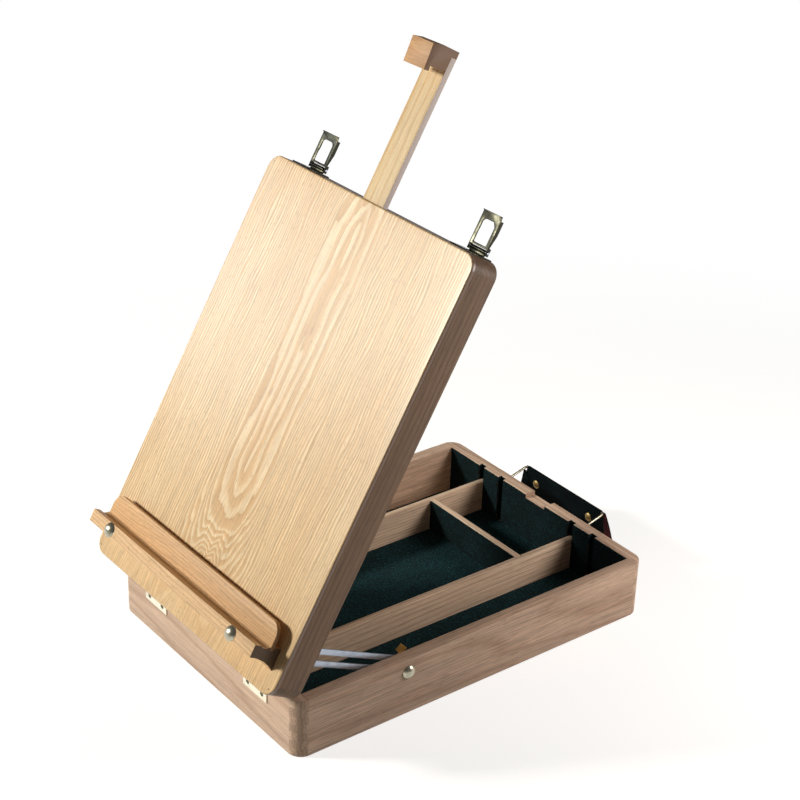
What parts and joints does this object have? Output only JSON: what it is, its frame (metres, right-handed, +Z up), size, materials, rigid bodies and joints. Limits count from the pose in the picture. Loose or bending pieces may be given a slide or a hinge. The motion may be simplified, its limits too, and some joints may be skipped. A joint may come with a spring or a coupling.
{
  "type": "box easel",
  "caption": "Tabletop box easel: divided tray with a lid that tilts up as a drawing board on slotted stays, a ledge, a sliding hooked mast, hasp latches and a carrying handle.",
  "frame": {"origin": "centre of the flat underside of the box", "axes": "+X to the right of someone who faces the drawing board, +Y from the hinged edge to the handle side, +Z up"},
  "size_m": [0.3084, 0.4951, 0.5771],
  "materials": {
    "base_wood": "oiled, open grain",
    "lid_wood": "oiled, open grain",
    "panel_veneer": "satin lacquer",
    "ledge_wood": "satin lacquer",
    "ledge_plate_wood": "satin lacquer",
    "mast_wood": "satin lacquer",
    "divider_wood": "bare",
    "plywood": "bare",
    "felt": "napped",
    "steel": "bright",
    "brass": "aged",
    "nickel": "dull plated",
    "hinge_plate": "bright plated",
    "leatherette": "grained"
  },
  "bodies": {
    "base": {"base_front_wall": "base_wood", "base_rear_wall": "base_wood", "base_left_wall": "base_wood", "base_right_wall": "base_wood", "base_bottom_panel": "plywood", "floor_felt": "felt", "front_wall_felt": "felt", "rear_wall_felt": "felt", "divider_left": "divider_wood", "divider_right": "divider_wood", "divider_cross": "divider_wood", "cross_divider_felt": "felt", "base_hinge_leaves": "hinge_plate", "base_hinge_screws": "hinge_plate", "hinge_pins": "steel", "clamp_bolts": "brass", "latch_catches": "nickel", "catch_screws": "nickel", "handle_brackets": "nickel", "bracket_screws": "nickel"},
    "lid": {"lid_front_rail": "lid_wood", "lid_top_rail": "lid_wood", "lid_left_rail": "lid_wood", "lid_right_rail": "lid_wood", "lid_panel": "panel_veneer", "panel_brads": "steel", "lid_hinge_leaves": "hinge_plate", "lid_hinge_screws": "hinge_plate", "ledge_bar": "ledge_wood", "ledge_back_plate": "ledge_plate_wood", "ledge_bolts": "brass", "ledge_washers": "steel", "mast_guide_left": "divider_wood", "mast_guide_right": "divider_wood", "mast_keeper": "divider_wood", "latch_plates": "nickel", "latch_screws": "nickel", "latch_pins": "nickel"},
    "mast": {"mast": "mast_wood", "mast_block": "mast_wood", "mast_block_screws": "steel", "mast_stop_pin": "steel"},
    "hasp_left": {"hasp_left": "nickel"},
    "hasp_right": {"hasp_right": "nickel"},
    "bail": {"handle_bail": "steel"},
    "grip": {"handle_grip": "leatherette", "grip_rivets": "brass"},
    "stay_washer_left": {"stay_washer_left": "steel"},
    "stay_left": {"stay_left": "steel", "stay_rivet_left": "steel"},
    "stay_wing_nut_left": {"stay_wing_nut_left": "brass"},
    "ledge_wing_nut_left": {"ledge_wing_nut_left": "brass"},
    "stay_washer_right": {"stay_washer_right": "steel"},
    "stay_right": {"stay_right": "steel", "stay_rivet_right": "steel"},
    "stay_wing_nut_right": {"stay_wing_nut_right": "brass"},
    "ledge_wing_nut_right": {"ledge_wing_nut_right": "brass"}
  },
  "joints": [
    {"name": "lid_hinge", "type": "hinge", "parent": "base", "child": "lid", "pos_m": [0, -0.21, 0.06], "axis": [1, 0, 0], "range_deg": [-60.25, 29.75]},
    {"name": "mast_slide", "type": "slide", "parent": "lid", "child": "mast", "axis": [0, 0.4962, 0.8682], "range_m": [-0.125, 0.18]},
    {"name": "hasp_left_swing", "type": "hinge", "parent": "lid", "child": "hasp_left", "pos_m": [-0.1175, -0.00184, 0.42824], "axis": [1, 0, 0], "range_deg": [-90, 60]},
    {"name": "hasp_right_swing", "type": "hinge", "parent": "lid", "child": "hasp_right", "pos_m": [0.1175, -0.00184, 0.42824], "axis": [1, 0, 0], "range_deg": [-90, 60]},
    {"name": "bail_swing", "type": "hinge", "parent": "base", "child": "bail", "pos_m": [0, 0.2115, 0.0525], "axis": [1, 0, 0], "range_deg": [-30, 30]},
    {"name": "grip_swing", "type": "hinge", "parent": "bail", "child": "grip", "pos_m": [0, 0.23553, 0.05939], "axis": [1, 0, 0], "range_deg": [-15, 45]},
    {"name": "stay_left_swivel", "type": "hinge", "parent": "base", "child": "stay_washer_left", "pos_m": [-0.1342, -0.0852, 0.0455], "axis": [1, 0, 0], "range_deg": [-3.7, 7.4]},
    {"name": "stay_left_slide", "type": "slide", "parent": "stay_washer_left", "child": "stay_left", "axis": [0, 0.9, -0.436], "range_m": [-0.0205, 0.0415]},
    {"name": "stay_wing_nut_left_turn", "type": "hinge", "parent": "base", "child": "stay_wing_nut_left", "pos_m": [-0.1302, -0.0852, 0.0455], "axis": [1, 0, 0], "continuous": true},
    {"name": "ledge_wing_nut_left_turn", "type": "hinge", "parent": "lid", "child": "ledge_wing_nut_left", "pos_m": [-0.103, -0.21126, 0.10414], "axis": [0, -0.8682, 0.4962], "continuous": true},
    {"name": "stay_right_swivel", "type": "hinge", "parent": "base", "child": "stay_washer_right", "pos_m": [0.1342, -0.0852, 0.0455], "axis": [1, 0, 0], "range_deg": [-3.7, 7.4]},
    {"name": "stay_right_slide", "type": "slide", "parent": "stay_washer_right", "child": "stay_right", "axis": [0, 0.9, -0.436], "range_m": [-0.0205, 0.0415]},
    {"name": "stay_wing_nut_right_turn", "type": "hinge", "parent": "base", "child": "stay_wing_nut_right", "pos_m": [0.1302, -0.0852, 0.0455], "axis": [1, 0, 0], "continuous": true},
    {"name": "ledge_wing_nut_right_turn", "type": "hinge", "parent": "lid", "child": "ledge_wing_nut_right", "pos_m": [0.103, -0.21126, 0.10414], "axis": [0, -0.8682, 0.4962], "continuous": true}
  ],
  "couplings": [
    {"joint": "stay_left_swivel", "follows": "lid_hinge", "ratio": -0.11896},
    {"joint": "stay_left_slide", "follows": "lid_hinge", "m_per_rad": -0.038857},
    {"joint": "stay_right_swivel", "follows": "lid_hinge", "ratio": -0.11896},
    {"joint": "stay_right_slide", "follows": "lid_hinge", "m_per_rad": -0.038857}
  ]
}
